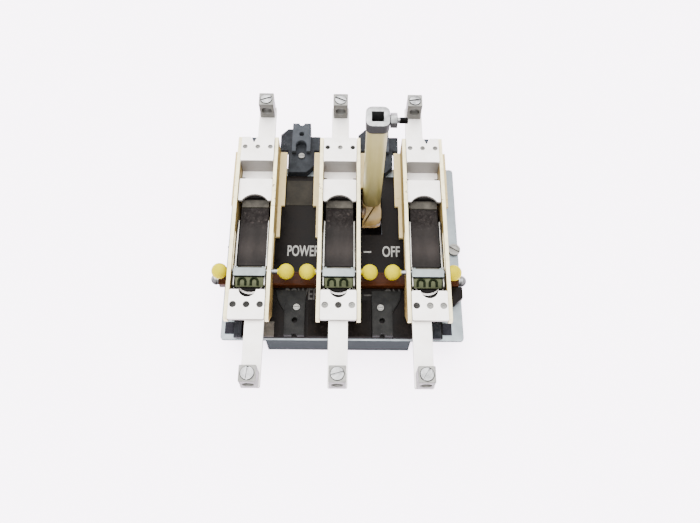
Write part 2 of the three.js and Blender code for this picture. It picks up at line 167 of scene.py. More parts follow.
def edit_all(piece):
    """Enters edit mode with everything selected."""
    only(piece)
    bpy.ops.object.mode_set(mode="EDIT")
    bpy.ops.mesh.select_all(action="SELECT")


def leave_edit():
    bpy.ops.object.mode_set(mode="OBJECT")


def push(offset):
    """Extrudes the chosen faces by an offset."""
    bpy.ops.mesh.extrude_region_move(TRANSFORM_OT_translate={"value": Vector(offset)})


def recess(piece, chosen, margin, offset):
    """Insets the chosen faces and extrudes them by the offset."""
    edit_faces(piece, chosen)
    bpy.ops.mesh.inset(thickness=margin)
    push(offset)
    leave_edit()


def smooth(piece, degrees=40):
    """Shades as one the faces that meet at less than the angle."""
    only(piece)
    bpy.ops.object.shade_smooth_by_angle(angle=radians(degrees))
    return piece


def modified(piece, kind, **settings):
    """Gives the piece a modifier and applies it."""
    only(piece)
    modifier = piece.modifiers.new(kind.lower(), kind)
    for key, value in settings.items():
        setattr(modifier, key, value)
    bpy.ops.object.modifier_apply(modifier=modifier.name)
    return piece


def round_edges(piece, width, segments=2, angle=35):
    """Rounds every edge sharper than the angle, and shades the piece smooth."""
    modified(piece, "BEVEL", width=width, segments=segments, limit_method="ANGLE", angle_limit=radians(angle))
    return smooth(piece)


def cut(piece, cutter):
    """Takes the cutter out of the piece."""
    modified(piece, "BOOLEAN", operation="DIFFERENCE", solver="EXACT", object=cutter)
    bpy.data.objects.remove(cutter)
    return piece


def outlined(name, corners, z0, z1):
    """A flat outline in X and Y, given in millimetres, filled and raised from z0 to z1."""
    deselect()
    bpy.ops.mesh.primitive_circle_add(vertices=len(corners), radius=1, location=(0, 0, 0))
    piece = named(bpy.context.object, name)
    for vertex, (x, y) in zip(piece.data.vertices, corners):
        vertex.co = (x * MM, y * MM, z0)
    edit_all(piece)
    bpy.ops.mesh.edge_face_add()
    push((0, 0, z1 - z0))
    leave_edit()
    return outward(piece)


def sliced(piece, place, normal):
    """Cuts the piece flat at a place, drops the side the normal points to and closes the cut."""
    edit_all(piece)
    bpy.ops.mesh.bisect(plane_co=place, plane_no=normal, use_fill=True, clear_outer=True)
    leave_edit()
    return outward(piece)


def joined(name, pieces):
    """Makes several loose parts a single piece."""
    deselect()
    for piece in pieces:
        piece.select_set(True)
    bpy.context.view_layer.objects.active = pieces[0]
    bpy.ops.object.join()
    return named(bpy.context.object, name)


def outward(piece):
    """Merges doubles and turns every face outwards."""
    edit_all(piece)
    bpy.ops.mesh.remove_doubles(threshold=SAME_POINT)
    bpy.ops.mesh.normals_make_consistent(inside=False)
    leave_edit()
    return piece


def finished_copy(node, name, width, segments=2, merged=True):
    """A copy of a frame node with its edges rounded, merged into clean faces unless told not to."""
    if node not in frame["nodes"]:
        raise RuntimeError(f"the frame has no node {node}")
    mesh = frame["nodes"][node].data.copy()
    mesh.materials.clear()
    piece = bpy.data.objects.new(name, mesh)
    bpy.context.scene.collection.objects.link(piece)
    only(piece)
    bpy.ops.mesh.customdata_custom_splitnormals_clear()
    edit_all(piece)
    bpy.ops.mesh.remove_doubles(threshold=SAME_CORNER)
    bpy.ops.mesh.dissolve_degenerate(threshold=SLIVER)
    if merged:
        bpy.ops.mesh.dissolve_limited(angle_limit=ONE_PLANE)
    leave_edit()
    return round_edges(piece, width, segments)


def dress(piece, finish, slot, body, *nodes):
    """Gives a piece its finish, sets what it rides on and hides the nodes it stands for; the slot argument is not
    used.
    """
    if not piece.data.polygons:
        raise RuntimeError(f"{piece.name} has no faces")
    piece.data.materials.clear()
    piece.data.materials.append(MATERIALS[finish])
    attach(piece, body)
    if nodes:
        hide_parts(*nodes)
    return piece


def refined(node, name, width, finish, slot, body, segments=2, merged=True):
    """Puts a rounded copy of a frame node in its place."""
    return dress(finished_copy(node, name, width, segments, merged), finish, slot, body, node)


def middle(node):
    low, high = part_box(node)
    return (low + high) / 2


# ---- Materials ----
class Surface:
    """A material whose pattern is built up one node at a time, on Object coordinates."""

    def __init__(self, name, roughness=0.5, metallic=0.0, specular=0.5):
        self.material = bpy.data.materials.new(name)
        self.material.use_nodes = True
        self.tree = self.material.node_tree
        self.shader = self.tree.nodes["Principled BSDF"]
        self.shader.inputs["Roughness"].default_value = roughness
        self.shader.inputs["Metallic"].default_value = metallic
        self.shader.inputs["Specular IOR Level"].default_value = specular
        self.place = self.node("TexCoord").outputs["Object"]

    def node(self, kind, **inputs):
        """A new node, with its inputs set by name."""
        node = self.tree.nodes.new("ShaderNode" + kind)
        for key, value in inputs.items():
            node.inputs[key].default_value = value
        return node

    def link(self, source, target):
        self.tree.links.new(source, target)

    def stretch(self, x, y, z):
        mapping = self.node("Mapping", Scale=(x, y, z))
        self.link(self.place, mapping.inputs["Vector"])
        return mapping.outputs["Vector"]

    def noise(self, scale, detail=4.0, roughness=0.55, where=None, distortion=0.0):
        node = self.node("TexNoise", Scale=scale, Detail=detail, Roughness=roughness, Distortion=distortion)
        self.link(where or self.place, node.inputs["Vector"])
        return node.outputs["Fac"]

    def cells(self, scale):
        node = self.node("TexVoronoi", Scale=scale)
        self.link(self.place, node.inputs["Vector"])
        return node.outputs["Distance"]

    def ramp(self, value, *stops):
        node = self.node("ValToRGB")
        points = node.color_ramp.elements
        while len(points) < len(stops):
            points.new(0.5)
        for point, (place, colour) in zip(points, stops):
            point.position = place
            point.color = (*colour, 1)
        self.link(value, node.inputs["Fac"])
        return node.outputs["Color"]

    def level(self, value, low, high, out_low=0.0, out_high=1.0):
        node = self.node("MapRange", **{"From Min": low, "From Max": high, "To Min": out_low, "To Max": out_high})
        self.link(value, node.inputs["Value"])
        return node.outputs["Result"]

    def times(self, a, b, operation="MULTIPLY"):
        """Two values multiplied, or put through another operation."""
        node = self.node("Math")
        node.operation = operation
        for socket, value in zip(node.inputs, (a, b)):
            if isinstance(value, (int, float)):
                socket.default_value = value
            else:
                self.link(value, socket)
        return node.outputs["Value"]

    def mix(self, share, a, b, mode="MIX"):
        node = self.node("Mix")
        node.data_type = "RGBA"
        node.blend_type = mode
        for socket, value in ((node.inputs[0], share), (node.inputs[6], a), (node.inputs[7], b)):
            if isinstance(value, (int, float)):
                socket.default_value = value
            elif isinstance(value, tuple):
                socket.default_value = (*value, 1)
            else:
                self.link(value, socket)
        return node.outputs[2]

    def axis(self, letter):
        node = self.node("SeparateXYZ")
        self.link(self.place, node.inputs[0])
        return node.outputs[letter]

    def facing(self, letter):
        """How squarely the face looks along an axis, from 0 to 1."""
        normal = self.node("NewGeometry")
        node = self.node("SeparateXYZ")
        self.link(normal.outputs["Normal"], node.inputs[0])
        return self.times(node.outputs[letter], 0.0, "ABSOLUTE")

    def colour(self, value):
        self.link(value, self.shader.inputs["Base Color"])

    def rough(self, value, low, high):
        """Roughness that follows the middle half of a value's range."""
        self.link(self.level(value, 0.25, 0.75, low, high), self.shader.inputs["Roughness"])

    def metal(self, amount):
        """Metal on level faces, fading to dull plating on upright ones."""
        level_share = self.level(self.facing("Z"), 0.3, 0.9)
        self.link(self.times(level_share, amount), self.shader.inputs["Metallic"])

    def bump(self, *layers):
        """Stacks bumps, each a height and its depth in millimetres."""
        normal = None
        for height, depth in layers:
            node = self.node("Bump", Strength=1.0, Distance=depth * MM)
            self.link(height, node.inputs["Height"])
            if normal:
                self.link(normal, node.inputs["Normal"])
            normal = node.outputs["Normal"]
        self.link(normal, self.shader.inputs["Normal"])


def tin_white(name, colour, shade, metallic, side):
    """Dull white tin plate, a little stained and brushed, with painted shade darkening its upright faces."""
    s = Surface(name, metallic=metallic)
    stain = s.noise(70, 5, 0.6)
    grain = s.noise(900, 2, 0.5)
    pits = s.noise(1600, 2, 0.7)
    toned = s.ramp(stain, (0.35, shade), (0.62, colour))
    spots = s.level(pits, 0.66, 0.74)
    toned = s.mix(s.times(spots, 0.35), toned, tint(shade, 0.45))
    # Painted shade: faces that do not look up take the shade colour, darkened by the given factor.
    s.colour(s.mix(s.level(s.facing("Z"), 0.3, 0.9), tint(shade, side), toned))
    s.rough(s.noise(160, 4), 0.34, 0.56)
    s.bump((grain, 0.02), (stain, 0.12), (pits, 0.03))
    return s.material


def zinc_sheet(name, colour, shade):
    """Zinc-plated sheet, with faint spangle and fine scratches, and painted shade darkening the faces that look
    along Y.
    """
    s = Surface(name, specular=0.0)
    s.metal(0.75)
    spangle = s.cells(120)
    cloud = s.noise(35, 5, 0.6)
    scratch = s.noise(60, 3, 0.5, s.stretch(1, 30, 1))
    base = s.ramp(cloud, (0.3, shade), (0.7, colour))
    toned = s.mix(s.level(spangle, 0.1, 0.8, 0.0, 0.25), base, tint(colour, 1.25))
    # Painted shade: faces that look along Y take a darkened shade colour.
    s.colour(s.mix(s.level(s.facing("Y"), 0.5, 0.9), toned, tint(shade, 0.2)))
    s.rough(s.noise(240, 4), 0.36, 0.55)
    s.bump((scratch, 0.03), (cloud, 0.2), (s.noise(1200, 2), 0.01))
    return s.material


def glass_board(name, face, edge, stain_colour):
    """Glass-polyester sheet with a fibre weave, specks and heat stains: cream, with painted shade making the
    faces that look along X tan and darkening the low parts.
    """
    s = Surface(name, specular=0.3)
    fibre = s.noise(420, 3, 0.6, s.stretch(1, 0.3, 1))
    mottle = s.noise(55, 5, 0.65)
    stain = s.noise(24, 4, 0.7, distortion=0.6)
    speck = s.noise(330, 2, 0.5)
    tan = s.ramp(mottle, (0.3, tint(face, 0.72)), (0.68, face))
    tan = s.mix(s.level(fibre, 0.45, 0.7, 0, 0.4), tan, tint(face, 1.4))
    tan = s.mix(s.level(stain, 0.55, 0.72, 0, 0.8), tan, stain_colour)
    cream = s.ramp(s.noise(180, 4), (0.3, tint(edge, 0.8)), (0.6, edge))
    cream = s.mix(s.level(fibre, 0.5, 0.75, 0, 0.35), cream, tint(edge, 0.62))
    start, full, fading, end = mm(20, 34, 50, 62)       # along Y, beside the arc
    near_arc = s.times(s.level(s.axis("Y"), start, full), s.level(s.axis("Y"), end, fading))
    specks = s.times(s.level(speck, 0.62, 0.68), near_arc)
    cream = s.mix(s.times(specks, 0.8), cream, stain_colour)
    # Painted shade: low down, below 40 mm and fully below 36 mm, the cream is darkened towards tan.
    foot, above = mm(36, 40)
    low_down = s.level(s.axis("Z"), above, foot)
    cream = s.mix(s.times(low_down, 0.75), cream, tint(face, 1.6))
    # Painted shade: faces that look along X are tan, the rest cream.
    s.colour(s.mix(s.level(s.facing("X"), 0.5, 0.85), cream, tan))
    s.rough(mottle, 0.45, 0.65)
    s.bump((fibre, 0.06), (mottle, 0.1))
    return s.material


def dark_moulding(name, colour, light, gloss=0.5, highlight_from=None):
    """Moulded plastic with fine grain, dust and rubbed spots, and paler above a given height as a painted
    highlight, mottled by the dust pattern.
    """
    s = Surface(name, specular=0.05)
    dust = s.noise(90, 5, 0.65)
    grain = s.noise(1500, 2, 0.5)
    base = s.ramp(dust, (0.35, colour), (0.75, light))
    base = s.mix(s.level(s.noise(420, 3), 0.62, 0.8, 0, 0.5), base, light)
    # Painted highlight: above the given height the colour turns paler, mottled by the dust pattern.
    if highlight_from:
        high = s.level(s.axis("Z"), highlight_from, highlight_from + 2 * MM)
        painted_highlight = s.mix(s.level(dust, 0.35, 0.65), light, tint(light, 1.5))
        base = s.mix(high, base, painted_highlight)
    s.colour(base)
    s.rough(dust, gloss - 0.12, gloss + 0.12)
    s.bump((grain, 0.035), (dust, 0.08))
    return s.material


def arc_board(name, colour, light, burn):
    """Arc-resistant board: streaked, with a paler band towards its load end as a painted highlight, blistered and
    scorched at the line end.
    """
    s = Surface(name, specular=0.07)
    streak = s.noise(60, 4, 0.6, s.stretch(1, 0.25, 1))
    fleck = s.noise(500, 4, 0.6)
    base = s.ramp(streak, (0.3, colour), (0.75, light))
    start, full, fading, end = mm(-22, -12, -8, 4)      # the stretch of the painted highlight, along Y
    # Painted highlight: a paler band, mottled by the streaks, across this stretch.
    painted_highlight = s.times(s.level(s.axis("Y"), start, full), s.level(s.axis("Y"), end, fading))
    base = s.mix(s.times(painted_highlight, s.level(streak, 0.25, 0.6, 0.2, 0.7)), base, tint(light, 1.6))
    scorched = s.level(s.axis("Y"), *mm(8, 18))
    blister = s.noise(330, 4, 0.7, distortion=0.8)
    marks = s.times(scorched, s.level(blister, 0.42, 0.56))
    base = s.mix(marks, base, burn)
    ash = s.times(scorched, s.level(s.noise(260, 3, 0.6), 0.6, 0.68))
    s.colour(s.mix(s.times(ash, 0.5), base, tint(light, 3)))
    s.rough(fleck, 0.4, 0.6)
    s.bump((fleck, 0.05), (streak, 0.1), (s.times(blister, scorched), 0.9))
    return s.material


def tinted_tube(name, colour, shade):
    """Cream glass-fibre tube: long faint streaks under a thin gloss."""
    s = Surface(name, roughness=0.35, specular=0.25)
    streak = s.noise(90, 4, 0.6, s.stretch(1, 1, 0.06))
    soft = s.noise(30, 3)
    base = s.ramp(streak, (0.3, shade), (0.7, colour))
    s.colour(s.mix(s.level(soft, 0.4, 0.75, 0, 0.4), base, tint(shade, 0.85)))
    s.rough(soft, 0.26, 0.42)
    s.bump((streak, 0.06), (s.noise(700, 2), 0.015))
    return s.material


def bright_yellow(name, colour, shade):
    """Glossy yellow plastic with fine speckle."""
    s = Surface(name, roughness=0.4, specular=0.04)
    speckle = s.noise(700, 3, 0.6)
    cloud = s.noise(90, 3)
    s.colour(s.mix(s.level(speckle, 0.45, 0.7, 0, 0.5), s.ramp(cloud, (0.3, shade), (0.6, colour)), shade))
    s.rough(cloud, 0.24, 0.36)
    s.bump((speckle, 0.03),)
    return s.material


def red_bar(name, colour, light):
    """Red-brown moulded bar with flow marks."""
    s = Surface(name, specular=0.05)
    flow = s.noise(110, 5, 0.65, s.stretch(0.3, 1, 1), distortion=0.5)
    s.colour(s.ramp(flow, (0.3, colour), (0.72, light)))
    s.rough(flow, 0.28, 0.45)
    s.bump((s.noise(900, 3), 0.03), (flow, 0.08))
    return s.material


def bright_metal(name, colour, shade, low=0.22, high=0.42):
    """Plated screw steel, turned and a little tarnished, with painted shade darkening its upright faces."""
    s = Surface(name, specular=0.03)
    s.metal(0.9)
    tarnish = s.noise(140, 5, 0.6)
    fine = s.noise(1100, 3)
    toned = s.ramp(tarnish, (0.3, shade), (0.65, colour))
    # Painted shade: upright faces take a darkened shade colour.
    s.colour(s.mix(s.level(s.facing("Z"), 0.45, 0.95), tint(shade, 0.22), toned))
    s.rough(tarnish, low, high)
    s.bump((fine, 0.015), (tarnish, 0.03))
    return s.material


def white_ink(name, colour):
    """Printed legend ink, a little worn."""
    s = Surface(name, roughness=0.6)
    wear = s.noise(900, 4, 0.7)
    s.colour(s.ramp(wear, (0.32, tint(colour, 0.55)), (0.48, colour)))
    s.rough(wear, 0.5, 0.7)
    s.bump((wear, 0.02),)
    return s.material


MATERIALS = {}


def make_materials():
    """Makes each finish once."""
    MATERIALS.update(
        tin=tin_white("tin_plate", (0.93, 0.89, 0.86), (0.86, 0.81, 0.76), 0.1, 0.3),
        lug=tin_white("lug_tin", (0.21, 0.205, 0.19), (0.13, 0.127, 0.112), 0.3, 0.6),
        zinc=zinc_sheet("zinc_sheet", (0.24, 0.27, 0.285), (0.17, 0.195, 0.205)),
        clamp=zinc_sheet("clamp_zinc", (0.21, 0.235, 0.235), (0.13, 0.15, 0.15)),
        board=glass_board("glass_board", (0.26, 0.185, 0.062), (0.92, 0.82, 0.5), (0.06, 0.028, 0.012)),
        moulding=dark_moulding("dark_moulding", (0.01, 0.0112, 0.013), (0.029, 0.032, 0.0365),
                               highlight_from=37 * MM),
        bracket=dark_moulding("load_moulding", (0.0062, 0.0062, 0.006), (0.0185, 0.0185, 0.0175)),
        black=dark_moulding("black_board", (0.0026, 0.0019, 0.0016), (0.007, 0.0054, 0.0046), 0.42),
        arc=arc_board("arc_board", (0.0072, 0.0058, 0.0052), (0.017, 0.0138, 0.0126), (0.0045, 0.0029, 0.0026)),
        barrier=dark_moulding("arc_barrier", (0.034, 0.031, 0.026), (0.088, 0.08, 0.066)),
        lining=dark_moulding("arc_lining", (0.0036, 0.0029, 0.0027), (0.009, 0.0075, 0.007)),
        tube=tinted_tube("cream_tube", (0.31, 0.275, 0.118), (0.215, 0.185, 0.06)),
        foot=tinted_tube("tan_foot", (0.26, 0.175, 0.058), (0.145, 0.092, 0.026)),
        yellow=bright_yellow("yellow_cap", (0.44, 0.38, 0.0), (0.36, 0.29, 0.0)),
        red=red_bar("red_bar", (0.0165, 0.0046, 0.0012), (0.052, 0.0145, 0.0038)),
        steel=bright_metal("bright_steel", (0.36, 0.36, 0.36), (0.13, 0.13, 0.13)),
        silver=bright_metal("blade_silver", (0.42, 0.41, 0.38), (0.22, 0.21, 0.19), 0.2, 0.4),
        olive_steel=bright_metal("olive_steel", (0.046, 0.049, 0.028), (0.02, 0.023, 0.012), 0.3, 0.5),
        spring=bright_metal("spring_steel", (0.01, 0.013, 0.006), (0.004, 0.006, 0.003), 0.3, 0.5),
        # Dark steel: the clamp screw's thread, and painted shade on terminal screws in dark holes.
        socket=bright_metal("dark_steel", (0.034, 0.033, 0.031), (0.012, 0.012, 0.011), 0.35, 0.55),
        ink=white_ink("legend_ink", (0.2, 0.195, 0.18)),
        faded=white_ink("dark_grey_ink", (0.022, 0.019, 0.016)),
        olive=dark_moulding("olive_label", (0.0135, 0.0118, 0.009), (0.027, 0.0235, 0.018)),
        slate=dark_moulding("slate_label", (0.01, 0.01, 0.0135), (0.025, 0.025, 0.031)),
    )


# ---- Settings ----
class BLADESWITCH_PG_pieces(bpy.types.PropertyGroup):
    """Sizes that a user would change."""
    sheet_round: FloatProperty(
        name="Sheet edge", description="Rounding of sheet-metal and bar edges", default=0.35 * MM, unit="LENGTH")
    board_round: FloatProperty(
        name="Board edge", description="Rounding of the side plates' sawn edges", default=0.3 * MM, unit="LENGTH")
    moulded_round: FloatProperty(
        name="Moulded edge", description="Rounding of moulded edges", default=0.5 * MM, unit="LENGTH")
    spring_radius: FloatProperty(
        name="Spring radius", description="Radius of the hairpin springs' bends", default=2.9 * MM, unit="LENGTH")
    spring_wire: FloatProperty(
        name="Spring wire", description="Wire radius of the hairpin springs", default=0.95 * MM, unit="LENGTH")
    legend_height: FloatProperty(
        name="Legend height", description="Height of the printed legend", default=10.8 * MM, unit="LENGTH")


class BLADESWITCH_PG_stage(bpy.types.PropertyGroup):
    """The camera, floor and light."""
    lens: FloatProperty(name="Lens", description="Focal length",
                        default=34.981, subtype="DISTANCE_CAMERA")
    tilt: FloatProperty(name="Tilt", description="Camera tilt from straight down",
                        default=0.437074, subtype="ANGLE")
    yaw: FloatProperty(name="Yaw", description="Camera turn about the vertical",
                       default=-0.019862, subtype="ANGLE")
    roll: FloatProperty(name="Roll", description="Camera turn about its own axis",
                        default=0.026947, subtype="ANGLE")
    place: FloatVectorProperty(name="Camera place", description="Where the camera stands",
                               default=(0.00464, -0.27301, 0.58613), subtype="TRANSLATION")
    floor_colour: FloatVectorProperty(name="Floor colour", description="Colour of the floor",
                                      default=(0.97, 0.88, 0.98), subtype="COLOR")
    floor_glow: FloatProperty(name="Floor glow", description="Light given off by the floor", default=3.4)
    sky: FloatProperty(name="Sky light", description="Strength of the even light", default=1.6)
    key: FloatProperty(name="Key light", description="Strength of the wide light overhead", default=9.5)
    spread: FloatProperty(name="Key spread", description="Width of the overhead light",
                          default=radians(80), subtype="ANGLE")


# ---- Operators ----
class Maker(bpy.types.Operator):
    """What every making operator has in common."""
    bl_options = {"REGISTER", "UNDO"}

    def execute(self, context):
        before = len(bpy.data.objects) + len(bpy.data.materials)
        self.make(context.scene.blade_switch)
        if len(bpy.data.objects) + len(bpy.data.materials) == before:
            raise RuntimeError(f"{self.bl_label} made nothing")
        return {"FINISHED"}


class BLADESWITCH_OT_finishes(Maker):
    """Makes every finish the pieces use"""
    bl_idname = "bladeswitch.finishes"
    bl_label = "Finishes"

    def make(self, sizes):
        make_materials()


class BLADESWITCH_OT_base(Maker):
    """Makes the bent sheet base, the black cover board and the handle's axle"""
    bl_idname = "bladeswitch.base"
    bl_label = "Base and Cover"

    # Corners of the tray that closes the handle's slot from below, in millimetres.
    TRAY = ((14, 11, 2.3), (46, 82, 4.2))

    def make(self, sizes):
        # The tray closes the slot from below in the near-black lining finish, as painted shade for the inside of
        # the slot.
        tray = cube("slot_tray", *(mm(*corner) for corner in self.TRAY))
        recess(tray, faces_up, 1.5 * MM, mm(0, 0, -0.8))
        round_edges(tray, 0.3 * MM)
        dress(tray, "lining", "black_board", "base")
        refined("base_pan", "base_sheet", sizes.sheet_round, "zinc", "zinc_sheet", "base")
        refined("legend_cover", "cover_board", sizes.moulded_round, "black", "black_board", "base")
        refined("handle_axle", "axle_pin", 0.4 * MM, "steel", "bright_steel", "base")


class BLADESWITCH_OT_side_plates(Maker):
    """Makes the six side plates"""
    bl_idname = "bladeswitch.side_plates"
    bl_label = "Side Plates"

    def make(self, sizes):
        for pole in POLES:
            for side in SIDES:
                node = f"side_plate_{pole}_{side}"
                refined(node, f"pole_plate_{pole}_{side}", sizes.board_round, "board", "glass_board", "base")


class BLADESWITCH_OT_terminals(Maker):
    """Makes the line and load terminals and their bars"""
    bl_idname = "bladeswitch.terminals"
    bl_label = "Terminals and Bars"

    def make(self, sizes):
        for pole in POLES:
            for end in ("line", "load"):
                refined(f"{end}_terminal_{pole}", f"{end}_plate_{pole}", 0.5 * MM, "tin", "tin_plate", "base", 3)
                refined(f"{end}_bar_{pole}", f"{end}_strip_{pole}", sizes.sheet_round, "tin", "tin_plate", "base")


class BLADESWITCH_OT_terminal_screws(Maker):
    """Makes the socket screws sunk in the terminal plates and the wedges in the line notches"""
    bl_idname = "bladeswitch.terminal_screws"
    bl_label = "Terminal Screws"

    # For each end: the row's place along Y, the screws' radius and pitch in millimetres, and
    # each pole's finishes from left to right.
    # A socket finish makes a screw dark: painted shade where the hole shows dark.
    ROWS = {
        "line": (88.7, 2.1, 11.6, ("lug",) * 3, ("socket", "lug", "socket"), ("lug",) * 3),
        "load": (-67.4, 2.7, 11.2, ("socket",) * 3, ("lug", "socket", "lug"), ("socket", "lug", "lug")),
    }
    BOTTOM, TOP = mm(57.85, 59.9)
    SOCKET_HEIGHT = 2.8 * MM        # the socket cutter's middle above the screw's bottom
    WEDGE = ((-2.2, 99.2), (-0.3, 94.6), (0.3, 94.6), (2.2, 99.2))
    WEDGE_SHIFT = 4                 # millimetres towards the outside of the switch
    WEDGE_BOTTOM, WEDGE_TOP = mm(58.1, 60.4)

    def make(self, sizes):
        for pole in POLES:
            x = middle(f"load_terminal_{pole}").x
            for end, (y, radius, pitch, *finishes) in self.ROWS.items():
                for place, finish in zip((-1, 0, 1), finishes[pole - 1]):
                    name = f"{end}_socket_screw_{pole}_{place + 2}"
                    self.screw(name, x + place * pitch * MM, y * MM, radius * MM, finish)
            side = pole - 2
            if side:
                corners = [(x / MM + side * self.WEDGE_SHIFT + a, b) for a, b in self.WEDGE]
                wedge = outlined(f"notch_wedge_{pole}", corners, self.WEDGE_BOTTOM, self.WEDGE_TOP)
                round_edges(wedge, 0.15 * MM)
                dress(wedge, "moulding", "dark_moulding", "base")

    def screw(self, name, x, y, radius, finish):
        """A cup-shaped screw with a hexagon socket."""
        rim, across = radius * 0.22, radius * 0.48
        screw = rod(name, radius, self.TOP - self.BOTTOM, (x, y, (self.BOTTOM + self.TOP) / 2))
        recess(screw, faces_up, rim, mm(0, 0, -0.5))
        cut(screw, rod("socket", across, 4 * MM, (x, y, self.BOTTOM + self.SOCKET_HEIGHT), "Z", 6))
        round_edges(screw, 0.1 * MM)
        dress(screw, finish, "bright_steel", "base")


class BLADESWITCH_OT_lugs(Maker):
    """Makes the six box lugs and their slotted screws"""
    bl_idname = "bladeswitch.lugs"
    bl_label = "Lugs"

    def make(self, sizes):
        for pole in POLES:
            for end in ("line", "load"):
                node = f"{end}_lug_{pole}"
                refined(node, f"{end}_box_lug_{pole}", 0.5 * MM, "lug", "tin_plate", "base", 3)
                node = f"{end}_lug_screw_{pole}"
                refined(node, f"{end}_set_screw_{pole}", 0.3 * MM, "steel", "bright_steel", BODY_OF[node])


class BLADESWITCH_OT_arc_blocks(Maker):
    """Makes the crowned arc blocks, the grey steps and barriers at their ends, and the linings"""
    bl_idname = "bladeswitch.arc_blocks"
    bl_label = "Arc Blocks"

    CUTS = 15                       # across the block, for its crown
    INSET = 0.2 * MM                # of the step and the barrier, from the block's sides
    STEP_DEPTH, STEP_GAP, STEP_DROP = mm(3.4, 0.3, 1)
    BARRIER_GAP, BARRIER_DEPTH, BARRIER_RISE = mm(0.4, 8.0, 1.2)
    LINING_HALF, LINING_NEAR, LINING_FAR, LINING_RISE = mm(12, 8.2, 10.8, 5.1)
    BELOW = 2 * MM                  # how far the barrier and the lining reach under the block
    TOP_BAND = 1e-5                 # points this near the top belong to it, in metres
    DIP, DIP_SHARE = 1.5 * MM, 0.16         # the fall at the load end, over this share of the length
    SUNK, BLISTER = mm(0.25, 0.25)
    BLISTER_FROM = 0.7              # share of the length where the blisters begin

    def make(self, sizes):
        for pole in POLES:
            node = f"arc_block_{pole}"
            low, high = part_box(node)
            block = cube(f"arc_board_{pole}", low, high)
            edit_all(block)
            bpy.ops.mesh.subdivide(number_cuts=self.CUTS)
            leave_edit()
            self.crown(block, low, high)
            round_edges(block, 0.5 * MM, 2, 50)
            dress(block, "arc", "brown_phenolic", "base", node)
            x = (low.x + high.x) / 2
            left, right = low.x + self.INSET, high.x - self.INSET
            step = cube(f"arc_step_{pole}", (left, low.y - self.STEP_DEPTH, low.z),
                        (right, low.y - self.STEP_GAP, high.z - self.STEP_DROP))
            round_edges(step, 0.3 * MM)
            dress(step, "barrier", "dark_moulding", "base")
            barrier = cube(f"arc_barrier_{pole}", (left, high.y + self.BARRIER_GAP, low.z - self.BELOW),
                           (right, high.y + self.BARRIER_DEPTH, high.z + self.BARRIER_RISE))
            recess(barrier, faces_up, 0.7 * MM, mm(0, 0, -0.6))
            round_edges(barrier, 0.25 * MM)
            dress(barrier, "barrier", "dark_moulding", "base")
            lining = cube(f"arc_lining_{pole}",
                          (x - self.LINING_HALF, high.y + self.LINING_NEAR, low.z - self.BELOW),
                          (x + self.LINING_HALF, high.y + self.LINING_FAR, high.z + self.LINING_RISE))
            round_edges(lining, 0.4 * MM)
            dress(lining, "lining", "brown_phenolic", "base")

    def crown(self, block, low, high):
        """Lowers the top, more so at its load end, and lifts blisters near the line end."""
        length = high.y - low.y
        for vertex in block.data.vertices:
            if vertex.co.z < high.z - self.TOP_BAND:
                continue
            along = (vertex.co.y - low.y) / length
            across = vertex.co.x - (low.x + high.x) / 2
            dip = self.DIP * max(0.0, self.DIP_SHARE - along) / self.DIP_SHARE
            swell = max(0.0, along - self.BLISTER_FROM) / 0.3
            wave = self.BLISTER * sin(across * 900 + along * 23) * sin(along * 41) * swell
            vertex.co.z += -dip - self.SUNK + wave


class BLADESWITCH_OT_brackets(Maker):
    """Makes the moulded brackets and their screws"""
    bl_idname = "bladeswitch.brackets"
    bl_label = "Brackets"

    SCREWS = {"line": (37.3, 95.5, 35.1), "load": (36.4, -59.5, 33.6)}      # on the right, in millimetres

    def make(self, sizes):
        for side, sign in SIDES.items():
            for end in ("line", "load"):
                node = f"{end}_bracket_{side}"
                finish = "moulding" if end == "line" else "bracket"
                # A load bracket's top is left in triangles, because as one face it fills wrongly.
                refined(node, f"{end}_moulding_{side}", sizes.moulded_round, finish, "dark_moulding", "base",
                        merged=end == "line")
            for end, (x, y, z) in self.SCREWS.items():
                self.screw(f"bracket_screw_{end}_{side}", *mm(sign * x, y, z))

    def screw(self, name, x, y, z):
        """A slotted screw with a raised middle."""
        head = rod(name, 2.9 * MM, 1.8 * MM, (x, y, z + 0.9 * MM))
        recess(head, faces_up, 0.9 * MM, mm(0, 0, 0.5))
        round_edges(head, 0.15 * MM)
        slot = cube("slot", (x - 4 * MM, y - 0.4 * MM, z + 1.2 * MM), (x + 4 * MM, y + 0.4 * MM, z + 4 * MM))
        cut(head, slot)
        dress(head, "lug", "bright_steel", "base")


class BLADESWITCH_OT_blades(Maker):
    """Makes the twin blades and the yoke over each pair"""
    bl_idname = "bladeswitch.blades"
    bl_label = "Blades"

    THINNED = 0.4 * MM      # taken off each blade's outer face

    def make(self, sizes):
        for pole in POLES:
            for side, out in SIDES.items():
                node = f"blade_{pole}_{side}"
                blade = finished_copy(node, f"knife_blade_{pole}_{side}", 0.2 * MM)
                edit_faces(blade, lambda f: f.normal.x * out > 0.9)
                bpy.ops.transform.translate(value=(-out * self.THINNED, 0, 0))
                leave_edit()
                dress(blade, "silver", "blade_copper", "blade_carriage", node)
            node = f"blade_yoke_{pole}"
            refined(node, f"clamp_yoke_{pole}", 0.4 * MM, "clamp", "zinc_sheet", "blade_carriage", 3)


